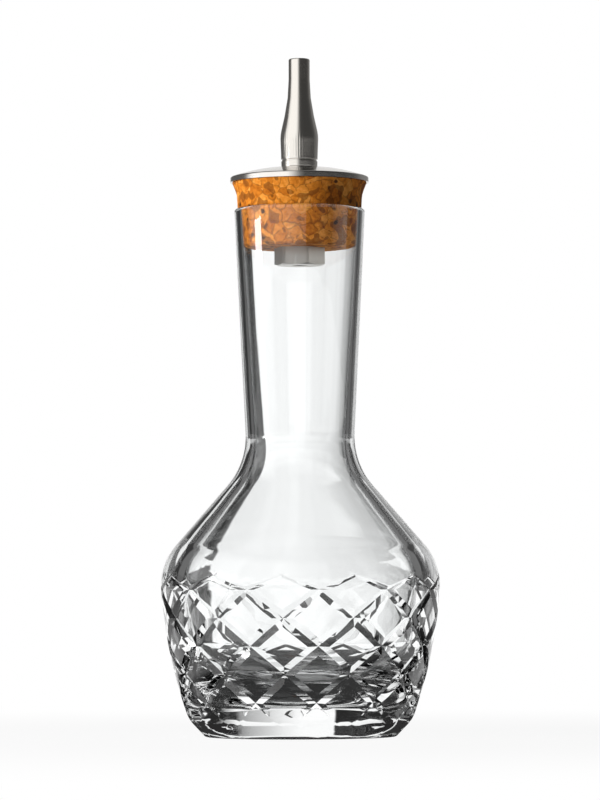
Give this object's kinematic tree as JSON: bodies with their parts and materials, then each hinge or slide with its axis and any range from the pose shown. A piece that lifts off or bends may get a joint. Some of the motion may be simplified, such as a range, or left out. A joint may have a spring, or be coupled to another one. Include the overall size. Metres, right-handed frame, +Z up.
{
  "type": "bitters bottle",
  "caption": "Cut-glass bitters bottle with a tall neck and a cork stopper that carries a screwed steel dasher spout.",
  "frame": {"origin": "centre of the foot ring, on the surface that the bottle stands on", "axes": "+Z up along the axis of the bottle, -Y to the front, +X to the right of someone facing the front"},
  "size_m": [0.0634, 0.0634, 0.1544],
  "materials": {
    "glass": "clear, cut and polished",
    "cork": "pressed cork granules, ground to shape",
    "steel": "turned and polished stainless steel",
    "seal": "moulded silicone"
  },
  "bodies": {
    "bottle": {"glass_bottle": "glass"},
    "stopper": {"cork_stopper": "cork", "cap_disc": "steel", "hollow_bolt": "steel"},
    "seal": {"spout_seal": "seal"},
    "spout": {"dasher_spout": "steel"}
  },
  "joints": [
    {"name": "stopper_lift", "type": "slide", "parent": "bottle", "child": "stopper", "axis": [0, 0, 1], "range_m": [0, 0.04]},
    {"name": "spout_rise", "type": "slide", "parent": "stopper", "child": "seal", "axis": [0, 0, 1], "range_m": [0, 0.005]},
    {"name": "spout_turn", "type": "hinge", "parent": "seal", "child": "spout", "pos_m": [0, 0, 0.1304], "axis": [0, 0, 1], "range_deg": [0, 1836]}
  ],
  "couplings": [
    {"joint": "spout_turn", "follows": "spout_rise", "rad_per_m": 6283.2}
  ]
}
